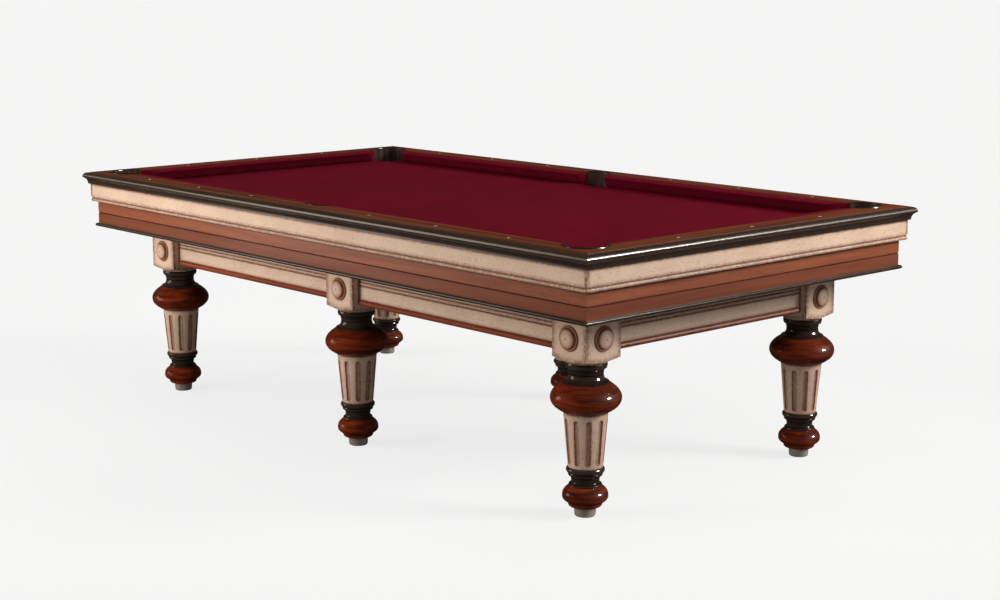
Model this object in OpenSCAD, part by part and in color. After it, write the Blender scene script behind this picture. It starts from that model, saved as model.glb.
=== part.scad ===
// Billiard table with six turned and fluted legs, in millimetres.
// +X runs along the length, -Y is the front long side, +Z is up.
// The origin is on the floor under the middle of the table.

/* [Node] */
// Which piece to draw, or all of them

/* [Play field] */
// Play field length between the cushion noses
field_length = 2336.8; // [2000:10:2540]
// Play field width between the cushion noses
field_width = 1168.4; // [1000:5:1270]
// Height of the rail top above the floor
rail_top_height = 815; // [760:1:860]
// Height of the cushion nose above the bed
nose_height = 36.5; // [30:0.5:40]
// Drop from the rail top to the cushion nose
nose_drop = 4.5; // [1:0.5:10]

/* [Rails and cushions] */
// Depth of the cloth covered cushion from nose to rail wood
cushion_depth = 45.8; // [35:0.5:60]
// Width of the rail wood seen from above
rail_width = 82; // [60:1:120]
// Depth of the undercut below the cushion nose
nose_undercut = 14; // [5:0.5:25]
// Radius of the cushion nose
nose_radius = 3; // [1:0.5:6]
// Crown of the cushion top above a straight line
cushion_crown = 1.6; // [0:0.1:4]
// Free space between a cloth covered cushion and its neighbours
soft_gap = 0.3; // [0.2:0.1:1]
// Distance from the nose corner to the end of a cushion at a corner pocket
corner_nose_gap = 92; // [70:1:120]
// Half opening between the cushion noses at a side pocket
side_nose_gap = 72; // [55:1:90]

/* [Pockets] */
// Radius of a corner pocket liner, outside
corner_pocket_radius = 63.5; // [55:0.5:80]
// Distance of the corner pocket centre beyond the nose line, along the length
corner_pocket_out_x = 20.6; // [10:0.2:40]
// Distance of the corner pocket centre beyond the nose line, across the width
corner_pocket_out_y = 24.8; // [10:0.2:40]
// Radius of a side pocket liner, outside
side_pocket_radius = 61.7; // [50:0.1:80]
// Distance of the side pocket centre beyond the nose line
side_pocket_out = 17.8; // [5:0.2:40]
// Radius of the curve that closes the side pocket at the bed
side_fall_radius = 90; // [60:1:150]
// Wall of the pocket liners
liner_wall = 3; // [2:0.5:6]
// Drop from the bed to the liner's edge in the pocket mouth
liner_lip_drop = 14; // [8:1:24]
// Depth of the pocket cup below the bed
cup_depth = 84; // [60:1:120]
// Height of the pocket rim above the rail top
rim_rise = 3.8; // [1:0.2:5]
// Width of the pocket rim
rim_width = 6.4; // [4:0.2:12]

/* [Bed] */
// Thickness of the slate
slate_thickness = 25; // [19:1:45]
// Thickness of the bed cloth
cloth_thickness = 1.2; // [0.8:0.1:2]
// Free margin between the edge of the slate and the fascia
slate_margin = 6; // [2:0.5:20]
// Joint between two slate slabs
slate_joint = 0.4; // [0.2:0.1:1]
// Number of slate slabs
slate_slabs = 3; // [1:1:5]

/* [Fascia and cabinet] */
// Gap of a mitred corner, measured along each board
mitre_gap = 0.1; // [0.05:0.05:0.5]
// Height of the cream fascia
fascia_height = 65; // [40:1:100]
// Thickness of the fascia
fascia_thickness = 20; // [12:1:30]
// Radius of the bead at the bottom of the fascia
fascia_bead_radius = 6.5; // [3:0.5:10]
// Height of the groove above the fascia bead
fascia_groove = 3.4; // [2:0.1:6]
// Depth of the grooves in fascia, frieze and aprons
groove_depth = 3; // [1:0.1:5]
// Step from the fascia face back to the frieze face
frieze_step = 18; // [8:1:30]
// Gap seen between the fascia and the top of the frieze step
frieze_reveal = 4.5; // [2:0.5:10]
// Height of the frieze
frieze_height = 76; // [50:1:110]
// Thickness of the upper cabinet board behind the fascia
cabinet_board = 18; // [12:1:30]
// Width of the V groove in the middle of the frieze
frieze_groove = 3.6; // [2:0.1:6]
// Thickness of the base board
base_board = 12; // [8:1:20]
// Projection of the base moulding beyond the frieze
base_projection = 9.5; // [4:0.5:20]
// Projection of the top moulding beyond the rail
moulding_projection = 21.3; // [10:0.1:40]
// Depth of the upper thumb of the top moulding
thumb_depth = 15.5; // [8:0.5:25]
// Height of the top moulding
moulding_height = 42.5; // [30:0.5:60]
// Projection of the top moulding at its foot
moulding_foot = 6.6; // [2:0.2:12]
// Thickness of the small fillet at the foot of the top moulding
moulding_fillet = 3; // [1:0.5:6]

/* [Legs] */
// Distance of the corner leg axes from the end frieze
leg_x = 210.2; // [100:0.2:400]
// Distance of the leg axes from the long frieze
leg_y = 208; // [100:0.5:300]
// Width of the square leg block
block_width = 138; // [100:1:170]
// Height of the block corners above the underside of the block
block_corner_height = 14; // [6:0.5:30]
// Height of the underside of the block above the bulb
block_foot_height = 60; // [40:0.5:80]
// Height of the leg block, from its underside to the base board
block_height = 159.5; // [120:0.5:200]
// Radius of the neck ring under the block
neck_ring_radius = 61.5; // [45:0.5:70]
// Height of the neck ring
neck_ring_height = 14; // [6:0.5:20]
// Smallest radius of the neck
neck_radius = 50.5; // [35:0.5:60]
// Radius of the lip on which the neck meets the bulb
neck_lip_radius = 67; // [50:0.5:80]
// Height of the lip
neck_lip_height = 4.5; // [2:0.5:8]
// Height of the bulb, above the column
bulb_top_height = 86; // [60:0.5:110]
// Height of the widest place of the bulb above the column
bulb_belly_height = 43.5; // [25:0.5:60]
// Largest radius of the bulb
bulb_radius = 103.2; // [80:0.2:120]
// Radius at the top of the bulb
bulb_top_radius = 68.5; // [55:0.5:80]
// Height of the top of the column above its foot
column_top_height = 163; // [120:0.5:200]
// Radius at the top of the column
column_top_radius = 65; // [50:0.2:75]
// Height of the foot of the column above the collar waist
column_foot_height = 43; // [30:0.5:60]
// Radius at the bottom of the column
column_foot_radius = 51; // [40:0.2:60]
// Number of flutes
flutes = 10; // [6:1:16]
// Radius of the flute cutter
flute_radius = 6.6; // [4:0.1:9]
// Height from the column foot to the lower end of the flutes
flute_low = 11.5; // [5:0.5:30]
// Height from the upper end of the flutes to the column top
flute_high = 17.5; // [5:0.5:40]
// Radius of the collar ring under the column
collar_ring_radius = 56.2; // [45:0.2:65]
// Height of the collar ring
collar_ring_height = 15; // [8:0.5:24]
// Radius of the second collar ring
collar_step_radius = 50.4; // [40:0.2:60]
// Height of the second collar ring
collar_step_height = 10; // [6:0.5:20]
// Smallest radius of the collar
collar_waist_radius = 40.8; // [30:0.2:50]
// Height of the waist above the ball
collar_waist_height = 12; // [8:0.5:20]
// Radius of the lip on the foot ball
collar_lip_radius = 48.8; // [40:0.2:60]
// Height of the lip on the foot ball
collar_lip_height = 6; // [3:0.5:9]
// Height of the ball, above its small step
ball_top_height = 51; // [40:0.5:65]
// Height of the widest place of the ball above its small step
ball_belly_height = 20.5; // [12:0.5:35]
// Largest radius of the ball
ball_radius = 66.9; // [50:0.1:80]
// Radius at the top of the ball
ball_top_radius = 47; // [40:0.5:60]
// Radius at the bottom of the ball, above the small step
ball_foot_radius = 48.5; // [40:0.5:60]
// Height of the small step under the ball
ball_step_height = 12; // [5:0.5:20]
// Radius of the small step
ball_step_radius = 50; // [40:0.5:60]
// Radius of the turned tenons that join the leg sections
tenon_radius = 22; // [12:1:30]
// Length of the turned tenons
tenon_length = 22; // [12:1:30]
// Clearance of a tenon in its mortise
tenon_clearance = 0.25; // [0.1:0.05:0.5]

/* [Levelling feet] */
// Height of the levelling foot
foot_height = 28.5; // [15:0.5:40]
// Radius at the top of the levelling foot
foot_top_radius = 32.4; // [20:0.2:40]
// Radius near the bottom of the levelling foot
foot_low_radius = 30.6; // [20:0.2:40]
// Chamfer at the bottom of the levelling foot
foot_chamfer = 3; // [1:0.5:6]
// Radius of the foot stud
stud_radius = 8; // [5:0.5:12]
// Length of the foot stud
stud_length = 50; // [35:1:60]
// Running clearance of the stud in its bush
stud_clearance = 0.1; // [0.05:0.01:0.3]
// Outer radius of the foot bush
bush_radius = 13; // [10:0.5:18]
// Length of the foot bush
bush_length = 36; // [25:1:45]

/* [Aprons] */
// Distance of the apron face behind the leg block face
apron_recess = 28; // [10:1:45]
// Thickness of the aprons
apron_thickness = 22; // [15:1:30]
// Height of the apron's lower edge above the block corners
apron_foot_height = 15.5; // [5:0.5:40]
// Radius of the bead on the apron
bead_radius = 9; // [5:0.5:14]
// Stand-off of the bead axis from the apron face
bead_standoff = 3; // [0:0.5:6]
// Free space between the end of a bead and the leg block
bead_end_gap = 9; // [3:0.5:20]
// Height of the panel groove above the apron's lower edge
apron_groove_height = 61; // [40:0.5:80]
// Height of the reed above the groove
apron_reed_height = 9; // [5:0.5:14]
// Width of the apron grooves
apron_groove = 3.4; // [2:0.1:6]
// Length of the apron tenons
apron_tenon_length = 20; // [10:1:35]
// Distance of the apron tenons from the apron's edges
apron_tenon_inset = 20; // [10:1:35]
// Thickness of the apron tenons
apron_tenon_thickness = 11; // [8:1:16]

/* [Rosettes and sights] */
// Radius of the rosettes
rosette_radius = 37; // [25:0.5:50]
// Height of the rosette centre above the block corners
rosette_height = 61; // [45:0.5:90]
// Thickness of the rosette's outer ring
rosette_ring = 4.6; // [2:0.2:8]
// Radius of the rosette's dome
rosette_dome_radius = 29; // [18:0.5:32]
// Rise of the rim of the rosette's dome above the block face
rosette_dome_rise = 12; // [8:0.5:18]
// Radius of the point in the middle of the rosette
rosette_point_radius = 3; // [1:0.5:8]
// Rise of the point above the rim of the dome
rosette_point_rise = 4.2; // [1:0.2:8]
// Spacing of the sights
sight_spacing = 315; // [250:1:360]
// Distance of the sights from the outer edge of the rail
sight_inset = 38.5; // [20:0.5:60]
// Radius of a sight
sight_radius = 5; // [3:0.5:8]
// Depth of a sight in the rail
sight_depth = 2; // [1:0.5:4]

/* [Frame] */
// Width of the narrow cross beams under the slate joints
seam_beam_width = 70; // [40:1:100]
// Radius of the leg bolts
leg_bolt_radius = 8; // [5:0.5:12]
// Length of the leg bolts
leg_bolt_length = 145; // [100:1:180]
// Depth of a leg bolt in the block
leg_bolt_depth = 70; // [40:1:90]
// Radius of the rail bolts
rail_bolt_radius = 5; // [4:0.5:8]
// Grip of a rail bolt in the rail
rail_bolt_grip = 28; // [15:1:36]
// Distance of the rail bolts from the rail wood's inner edge
rail_bolt_inset = 20; // [12:1:40]

/* [Hidden] */
$fn = 64;
over = 5;                 // overrun of every cutter
fine = 0.4;               // small clearance around hidden shanks
arris = 0.4;              // small rounding of a turned edge
fl = field_length / 2;
fw = field_width / 2;
stretch = fl - fw;        // the length side lies this much further out
top = rail_top_height;
bed = top - nose_drop - nose_height;
slate_top = bed - cloth_thickness - soft_gap;
slate_bottom = slate_top - slate_thickness;
rail_in = fw + cushion_depth;
rail_out = rail_in + rail_width;
fascia_bottom = slate_top - fascia_height;
frieze_out = rail_out - frieze_step;
frieze_top = fascia_bottom - frieze_reveal;
frieze_bottom = frieze_top - frieze_height;
base_bottom = frieze_bottom - base_board;
base_out = frieze_out + base_projection;
board_out = rail_out - fascia_thickness;
board_in = board_out - cabinet_board;
slate_out = board_out - slate_margin;
half_block = block_width / 2;
leg_at_x = stretch + frieze_out - leg_x;
leg_at_y = frieze_out - leg_y;
block_face_y = leg_at_y + half_block;
apron_y = block_face_y - apron_recess;
apron_x = leg_at_x + half_block - apron_recess;
// Heights in the legs, from the floor up. Together the turned lengths fill the
// height that the rail top leaves them, so their share is 1 as drawn.
leg_stack = ball_step_height + ball_top_height + collar_waist_height + column_foot_height
  + column_top_height + bulb_top_height + block_foot_height + block_height;
leg_share = (base_bottom - foot_height) / leg_stack;
function fit(h) = h * leg_share;
ball_low = foot_height + fit(ball_step_height);
ball_mid = ball_low + fit(ball_belly_height);
ball_top = ball_low + fit(ball_top_height);
waist_low = ball_top + fit(collar_waist_height);
column_low = waist_low + fit(column_foot_height);
column_high = column_low + fit(column_top_height);
bulb_mid = column_high + fit(bulb_belly_height);
bulb_high = column_high + fit(bulb_top_height);
block_low = bulb_high + fit(block_foot_height);
block_corner = block_low + fit(block_corner_height);
apron_low = block_corner + fit(apron_foot_height);
apron_groove_low = apron_low + fit(apron_groove_height);
rosette_mid = block_corner + fit(rosette_height);
plan_reach = rail_out + moulding_projection + over;
leg_bolt_top = base_bottom - leg_bolt_depth + leg_bolt_length;
corner_cx = fl + corner_pocket_out_x;
corner_cy = fw + corner_pocket_out_y;
side_cy = fw + side_pocket_out;
cup_bottom = bed - cup_depth;
// Places of the rail bolts, as shares of half the field length and half its width
rail_bolt_shares = [0.19, 0.51, 0.79];
end_bolt_shares = [-0.6, 0, 0.6];
nut_height_share = 0.8;
nut_radius_share = 1.75;
curve_steps = 12;
block_steps = 10;

function clear(r) = r + fine;

// Plan regions of the four sides, cut at 45 degrees
module plan_long() {
  g = mitre_gap;
  polygon([[-stretch, -g], [stretch, -g], [stretch + plan_reach, -plan_reach - g],
    [-stretch - plan_reach, -plan_reach - g]]);
}
module plan_end() {
  start = stretch + mitre_gap;
  polygon([[start, 0], [start + plan_reach, -plan_reach], [start + plan_reach, plan_reach]]);
}

// A mitred bar on the front side; children draw its section (outward, up)
module front_bar() {
  intersection() {
    rotate([90, 0, -90]) linear_extrude(2 * (stretch + plan_reach), center = true) children();
    linear_extrude(top + over) plan_long();
  }
}
// A mitred bar on the right side, with the same section
module right_bar() {
  intersection() {
    translate([stretch, 0, 0]) rotate([90, 0, 0])
      linear_extrude(2 * plan_reach, center = true) children();
    linear_extrude(top + over) plan_end();
  }
}
module to_back() { mirror([0, 1, 0]) children(); }
module to_left() { mirror([1, 0, 0]) children(); }
module four_sides() {
  front_bar() children();
  to_back() front_bar() children();
  right_bar() children();
  to_left() right_bar() children();
}
module four_corners() {
  for (mx = [0, 1], my = [0, 1]) mirror([mx, 0, 0]) mirror([0, my, 0]) children();
}

// Sections of the sides, outward distance and height
module rail_section() {
  translate([rail_in, slate_top]) square([rail_width, top - slate_top]);
}
module moulding_section() {
  low = top - moulding_height;
  nose = top - thumb_depth;
  polygon(concat(
    [[rail_out, low], [rail_out + moulding_foot, low],
      [rail_out + moulding_foot, low + moulding_fillet]],
    [for (i = [0 : 6]) let (t = i / 6)
      [rail_out + moulding_foot + arris + (moulding_projection - moulding_foot - 2 * arris)
        * (1 - sqrt(1 - t * t * cove_share)) / (1 - sqrt(1 - cove_share)),
        low + moulding_fillet + (nose - thumb_low - low - moulding_fillet) * t]],
    [for (i = [0 : 8]) let (a = i * 90 / 8)
      [rail_out + moulding_projection * thumb_share
        + moulding_projection * (1 - thumb_share) * cos(a),
        nose + (thumb_depth - moulding_edge) * sin(a)]],
    [[rail_out, top - moulding_edge / 2]]));
}
cove_share = 0.9;
thumb_low = 3;
thumb_share = 0.28;
moulding_edge = 1.6;
module fascia_section() {
  bead_z = fascia_bottom + fascia_bead_radius;
  difference() {
    union() {
      translate([board_out, fascia_bottom]) square([fascia_thickness - fascia_bead_radius,
        fascia_height]);
      translate([board_out, bead_z + fascia_bead_radius])
        square([fascia_thickness, fascia_height - 2 * fascia_bead_radius]);
      translate([rail_out - fascia_bead_radius, bead_z]) circle(fascia_bead_radius);
    }
    translate([rail_out - groove_depth, bead_z + fascia_bead_radius])
      square([groove_depth + over, fascia_groove]);
  }
}
module cabinet_section() {
  mid = frieze_bottom + frieze_height / 2;
  polygon([[board_in, frieze_bottom], [frieze_out, frieze_bottom],
    [frieze_out, mid - frieze_groove / 2], [frieze_out - groove_depth, mid],
    [frieze_out, mid + frieze_groove / 2], [frieze_out, frieze_top],
    [board_out, frieze_top], [board_out, slate_bottom], [board_in, slate_bottom]]);
}
module base_section() {
  r = base_board / 2;
  inner = leg_at_y - half_block - over;
  translate([inner, base_bottom]) square([base_out - r - inner, base_board]);
  translate([base_out - r, base_bottom + r]) circle(r);
}
module cushion_section() {
  nose_z = top - nose_drop;
  low = bed + soft_gap;
  back = rail_in - soft_gap;
  polygon(concat(
    [[fw + nose_undercut + nose_radius * 4, low], [fw + nose_undercut, low + nose_height / 3]],
    [for (i = [-3 : 4]) let (a = 180 - i * 22)
      [fw + nose_radius + nose_radius * cos(a), nose_z - nose_radius / 2 + nose_radius * sin(a)]],
    [for (i = [1 : 6]) let (t = i / 7)
      [fw + nose_radius + (back - fw - nose_radius) * t,
        nose_z + nose_radius / 2 + (top - nose_z - nose_radius / 2) * t
        + cushion_crown * sin(180 * t)]],
    [[back, top], [back, low]]));
}

// Plan outlines of the pocket holes
module corner_round(shrink) {
  translate([corner_cx, corner_cy]) circle(corner_pocket_radius - shrink);
}
module side_round(shrink) {
  intersection() {
    translate([0, side_cy]) circle(side_pocket_radius - shrink);
    translate([0, fw + side_fall_radius + soft_gap]) circle(side_fall_radius - shrink);
  }
}
// All six pocket holes in plan
module pocket_plan(shrink) {
  four_corners() corner_round(shrink);
  side_round(shrink);
  to_back() side_round(shrink);
}
// The region of the rail wood in plan, outside the cushions
module rail_region() {
  difference() {
    square([2 * (stretch + plan_reach), 2 * plan_reach], center = true);
    square([2 * (stretch + rail_in), 2 * rail_in], center = true);
  }
}
module drill_rail_bolts(r, low, high) {
  for (x = rail_bolt_shares, sx = [-1, 1], sy = [-1, 1])
    translate([sx * x * fl, sy * (rail_in + rail_bolt_inset), low]) cylinder(h = high - low, r = r);
  for (y = end_bolt_shares, sx = [-1, 1])
    translate([sx * (stretch + rail_in + rail_bolt_inset), y * fw, low])
      cylinder(h = high - low, r = r);
}
module at_sights() {
  out = rail_out - sight_inset;
  for (k = [1 : 3], sx = [-1, 1], sy = [-1, 1])
    translate([sx * k * sight_spacing, sy * out, 0]) children();
  for (k = [-1 : 1], sx = [-1, 1])
    translate([sx * (stretch + out), k * sight_spacing, 0]) children();
}

// Rails
module rail_cuts() {
  translate([0, 0, slate_top - over]) linear_extrude(top - slate_top + 2 * over) pocket_plan(0);
  drill_rail_bolts(clear(rail_bolt_radius), slate_top - over,
    slate_top + rail_bolt_grip + fine);
  at_sights() translate([0, 0, top - sight_depth]) cylinder(h = sight_depth + over,
    r = sight_radius);
}
module long_rail() {
  difference() { front_bar() rail_section(); rail_cuts(); }
}
module end_rail() {
  difference() { right_bar() rail_section(); rail_cuts(); }
}
module rail_front() { color("sienna") long_rail(); }
module rail_back() { color("sienna") to_back() long_rail(); }
module rail_right() { color("sienna") end_rail(); }
module rail_left() { color("sienna") to_left() end_rail(); }

// Cushions, cut to the pocket jaws
module long_cushion() {
  jaw = sqrt(pow(corner_pocket_radius, 2) - pow(corner_pocket_out_y - cushion_depth, 2));
  corner_end = corner_cx - jaw;
  side_end = sqrt(pow(side_pocket_radius, 2) - pow(rail_in - side_cy, 2));
  intersection() {
    rotate([90, 0, -90]) linear_extrude(2 * fl, center = true) cushion_section();
    translate([0, 0, bed]) linear_extrude(top - bed + over)
      polygon([[-side_nose_gap, -fw + fine], [-side_end - soft_gap, -rail_in],
        [-corner_end + soft_gap, -rail_in], [-fl + corner_nose_gap, -fw + fine]]);
  }
}
module end_cushion() {
  jaw = sqrt(pow(corner_pocket_radius, 2) - pow(cushion_depth - corner_pocket_out_x, 2));
  corner_end = corner_cy - jaw;
  intersection() {
    translate([stretch, 0, 0]) rotate([90, 0, 0])
      linear_extrude(2 * fw, center = true) cushion_section();
    translate([0, 0, bed]) linear_extrude(top - bed + over)
      polygon([[fl - fine, -fw + corner_nose_gap], [stretch + rail_in, -corner_end + soft_gap],
        [stretch + rail_in, corner_end - soft_gap], [fl - fine, fw - corner_nose_gap]]);
  }
}
module cushion_front_left() { color("darkred") long_cushion(); }
module cushion_front_right() { color("darkred") to_left() long_cushion(); }
module cushion_back_left() { color("darkred") to_back() long_cushion(); }
module cushion_back_right() { color("darkred") to_back() to_left() long_cushion(); }
module cushion_right() { color("darkred") end_cushion(); }
module cushion_left() { color("darkred") to_left() end_cushion(); }

// Fascia, mouldings, cabinet and base boards
module fascia_front() { color("antiquewhite") front_bar() fascia_section(); }
module fascia_back() { color("antiquewhite") to_back() front_bar() fascia_section(); }
module fascia_right() { color("antiquewhite") right_bar() fascia_section(); }
module fascia_left() { color("antiquewhite") to_left() right_bar() fascia_section(); }
module top_mouldings() { color("black") four_sides() moulding_section(); }
module cabinet_sides() {
  color("sienna") difference() {
    union() { front_bar() cabinet_section(); to_back() front_bar() cabinet_section(); }
    pocket_room();
  }
}
module cabinet_ends() {
  color("sienna") difference() {
    union() { right_bar() cabinet_section(); to_left() right_bar() cabinet_section(); }
    pocket_room();
  }
}
// Room for the pocket cups under the slate, clear of the boards as drawn
module pocket_room() {
  translate([0, 0, cup_bottom - over]) linear_extrude(slate_bottom - cup_bottom + 2 * over)
    pocket_plan(-fine);
}
module base_boards() {
  color("black") difference() {
    four_sides() base_section();
    at_legs() translate([0, 0, base_bottom - over])
      cylinder(h = base_board + 2 * over, r = clear(leg_bolt_radius));
  }
}

// Slate, cloth and pockets
module slate_bed() {
  color("dimgray") difference() {
    for (k = [0 : slate_slabs - 1]) {
      slab = 2 * (stretch + slate_out) / slate_slabs;
      translate([-stretch - slate_out + k * slab + slate_joint / 2, -slate_out, slate_bottom])
        cube([slab - slate_joint, 2 * slate_out, slate_thickness]);
    }
    translate([0, 0, slate_bottom - over]) linear_extrude(slate_thickness + 2 * over)
      pocket_plan(-2 * fine);
    drill_rail_bolts(clear(rail_bolt_radius), slate_bottom - over, slate_top + over);
  }
}
module bed_cloth() {
  edge = rail_in - 2 * soft_gap;
  color("darkred") translate([0, 0, slate_top + soft_gap / 2])
    linear_extrude(cloth_thickness) difference() {
      square([2 * (stretch + edge), 2 * edge], center = true);
      pocket_plan(-3 * fine);
    }
}
module pocket_liners() {
  color("dimgray") {
    translate([0, 0, cup_bottom]) linear_extrude(liner_wall) pocket_plan(0);
    translate([0, 0, cup_bottom]) linear_extrude(bed - liner_lip_drop - cup_bottom) difference() {
      pocket_plan(0);
      pocket_plan(liner_wall);
    }
    translate([0, 0, cup_bottom]) linear_extrude(top - cup_bottom) intersection() {
      difference() { pocket_plan(0); pocket_plan(liner_wall); }
      rail_region();
    }
  }
}
module rim_ring(r) {
  rotate_extrude() translate([r, 0]) intersection() {
    scale_round(rim_width / 2, rim_rise);
    translate([-rim_width, 0]) square([2 * rim_width, rim_width]);
  }
}
// A flat oval drawn as a polygon
module scale_round(a, b) {
  polygon([for (i = [0 : 2 * curve_steps - 1]) let (t = i * 180 / curve_steps)
    [a * cos(t), b * sin(t)]]);
}
module pocket_rims() {
  color("black") intersection() {
    translate([0, 0, top]) union() {
      four_corners() translate([corner_cx, corner_cy, 0]) rim_ring(corner_pocket_radius);
      for (s = [-1, 1]) translate([0, s * side_cy, 0]) rim_ring(side_pocket_radius);
    }
    translate([0, 0, top - over]) linear_extrude(rim_rise + 2 * over) rail_region();
  }
}
module sights() {
  color("ivory") at_sights() translate([0, 0, top - sight_depth])
    cylinder(h = sight_depth + fine, r = sight_radius);
}

// Legs
module at_legs() {
  for (sx = [-1, 0, 1], sy = [-1, 1]) translate([sx * leg_at_x, sy * leg_at_y, 0]) children();
}
module tenon_at(z) {
  translate([0, 0, z]) cylinder(h = tenon_length, r = tenon_radius);
}
module mortise_at(z) {
  translate([0, 0, z - over]) cylinder(h = tenon_length + over + 2 * tenon_clearance,
    r = tenon_radius + tenon_clearance);
}
function belly(r0, drop, h, n) = [for (i = [1 : curve_steps]) let (t = i / curve_steps)
  [r0 - drop * pow(t, n), h * t]];
module shoulder_solid() {
  rise = block_corner - block_low;
  corner = half_block * sqrt(2);
  reach = corner + over;
  rotate_extrude() polygon(concat([[0, block_low], [neck_ring_radius, block_low]],
    [for (i = [1 : block_steps + 1]) let (t = (i - 1 / 2) / block_steps)
      [neck_ring_radius + (corner - neck_ring_radius) * t,
        block_low + rise * sqrt(t)]],
    [[reach, block_corner + over], [reach, base_bottom], [0, base_bottom]]));
}
// The block at a corner has mortises for its aprons; dirs lists their directions
module leg_block(dirs) {
  difference() {
    intersection() {
      translate([-half_block, -half_block, block_low])
        cube([block_width, block_width, base_bottom - block_low]);
      shoulder_solid();
    }
    mortise_at(block_low);
    translate([0, 0, base_bottom - leg_bolt_depth - fine])
      cylinder(h = leg_bolt_depth + over, r = clear(leg_bolt_radius));
    for (d = dirs) apron_mortise(d);
  }
}
// Tenon and mortise heights in the aprons
tenon_low = apron_low + apron_tenon_inset;
tenon_high = base_bottom - apron_tenon_inset;
module apron_mortise(d) {
  t = apron_tenon_thickness / 2 + fine;
  mid = half_block - apron_recess - apron_thickness / 2;
  rotate([0, 0, d[0]]) mirror([0, d[1], 0])
    translate([half_block - apron_tenon_length - fine, mid - t, tenon_low - fine])
      cube([apron_tenon_length + over, 2 * t, tenon_high - tenon_low + 2 * fine]);
}
module collar_section_top() {
  low = bulb_high;
  lip = fit(neck_lip_height);
  ring = fit(neck_ring_height);
  ring_low = block_low - ring;
  waist = (low + ring_low) / 2 + lip / 2;
  polygon(concat([[0, low], [neck_lip_radius - arris, low],
      [neck_lip_radius, low + lip / 3], [neck_lip_radius, low + lip * 2 / 3],
      [neck_lip_radius - 3 * arris, low + lip]],
    [for (i = [1 : curve_steps]) let (t = i / curve_steps)
      [neck_lip_radius - 3 * arris - (neck_lip_radius - 3 * arris - neck_radius) * sin(90 * t),
        low + lip + (waist - low - lip) * (1 - cos(90 * t))]],
    [[neck_radius - neck_groove, waist + neck_groove / 2], [neck_radius, waist + neck_groove]],
    [for (i = [0 : 6]) let (a = i * 15)
      [neck_radius + (neck_ring_radius - neck_radius - neck_groove) * (1 - cos(a)),
        waist + neck_groove + (ring_low - waist - 2 * neck_groove) * sin(a)]],
    [[neck_ring_radius - neck_groove, ring_low]],
    [for (i = [0 : 6]) let (a = -60 + i * 20)
      [neck_ring_radius - ring / 4 + ring / 4 * cos(a),
        ring_low + ring / 2 + ring / 2 * sin(a) * ring_flat]],
    [[neck_ring_radius - neck_groove, block_low], [0, block_low]]));
}
neck_groove = 2;
ring_flat = 1.1;
module collar_section_low() {
  high = column_low;
  ring = fit(collar_ring_height);
  step = fit(collar_step_height);
  lip = fit(collar_lip_height);
  ring_mid = high - ring / 2;
  ring_low = high - ring;
  step_low = ring_low - step;
  low = ball_top;
  polygon(concat([[0, low], [collar_lip_radius - 2 * arris, low],
      [collar_lip_radius, low + lip / 3], [collar_lip_radius - arris, low + lip * 2 / 3],
      [collar_lip_radius - 4 * arris, low + lip]],
    [for (i = [1 : 7]) let (t = i / 7)
      [collar_waist_radius + (collar_lip_radius - 4 * arris - collar_waist_radius)
        * (1 - sin(90 * t)), low + lip + (waist_low - low - lip) * (1 - cos(90 * t))]],
    [for (i = [1 : 6]) let (t = i / 6)
      [collar_waist_radius + (collar_step_radius - 2 * neck_groove - collar_waist_radius)
        * (1 - cos(90 * t)), waist_low + (step_low - waist_low) * sin(90 * t)]],
    [for (i = [0 : 6]) let (a = -60 + i * 20)
      [collar_step_radius - step / 3 + step / 3 * cos(a),
        (ring_low + step_low) / 2 + step / 2 * sin(a) * ring_flat]],
    [[collar_step_radius - neck_groove, ring_low]],
    [for (i = [0 : 10]) let (a = -75 + i * 15)
      [collar_ring_radius - ring / 3 + ring / 3 * cos(a), ring_mid + ring / 2 * sin(a)]],
    [[column_foot_radius, high], [0, high]]));
}
module leg_collars() {
  difference() {
    union() {
      rotate_extrude() collar_section_top();
      tenon_at(block_low);
    }
    mortise_at(bulb_high);
  }
  difference() {
    union() {
      rotate_extrude() collar_section_low();
      tenon_at(column_low);
    }
    mortise_at(ball_top);
  }
}
step_round_share = 0.8;
bulb_high_power = 2;
bulb_low_power = 2.35;
ball_high_power = 2.6;
ball_low_power = 2.5;
module belly_solid(low, low_r, mid, mid_r, high, high_r, low_power, high_power) {
  up = belly(mid_r, mid_r - high_r, high - mid, high_power);
  down = belly(mid_r, mid_r - low_r, mid - low, low_power);
  rotate_extrude() polygon(concat([[0, low]],
    [for (i = [curve_steps - 1 : -1 : 0]) [down[i][0], mid - down[i][1]]],
    [[mid_r, mid]],
    [for (p = up) [p[0], mid + p[1]]],
    [[0, high]]));
}
module leg_bulbs() {
  difference() {
    union() {
      belly_solid(column_high, column_top_radius + fine, bulb_mid, bulb_radius,
        bulb_high, bulb_top_radius, bulb_low_power, bulb_high_power);
      tenon_at(bulb_high);
    }
    mortise_at(column_high);
  }
  step = ball_low - foot_height;
  difference() {
    union() {
      belly_solid(ball_low, ball_foot_radius, ball_mid, ball_radius,
        ball_top, ball_top_radius, ball_low_power, ball_high_power);
      rotate_extrude() polygon(concat([[0, foot_height]],
        [for (i = [0 : 4]) let (a = i * 90 / 4)
          [ball_step_radius - step * step_round_share * (1 - sin(a)),
            foot_height + step * step_round_share * (1 - cos(a))]],
        [[ball_step_radius, ball_low], [0, ball_low]]));
      tenon_at(ball_top);
    }
    translate([0, 0, foot_height - over]) cylinder(h = bush_length + over, r = bush_radius);
    translate([0, 0, foot_height]) cylinder(h = stud_length + 2 * fine,
      r = stud_radius + stud_clearance);
  }
}
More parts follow.
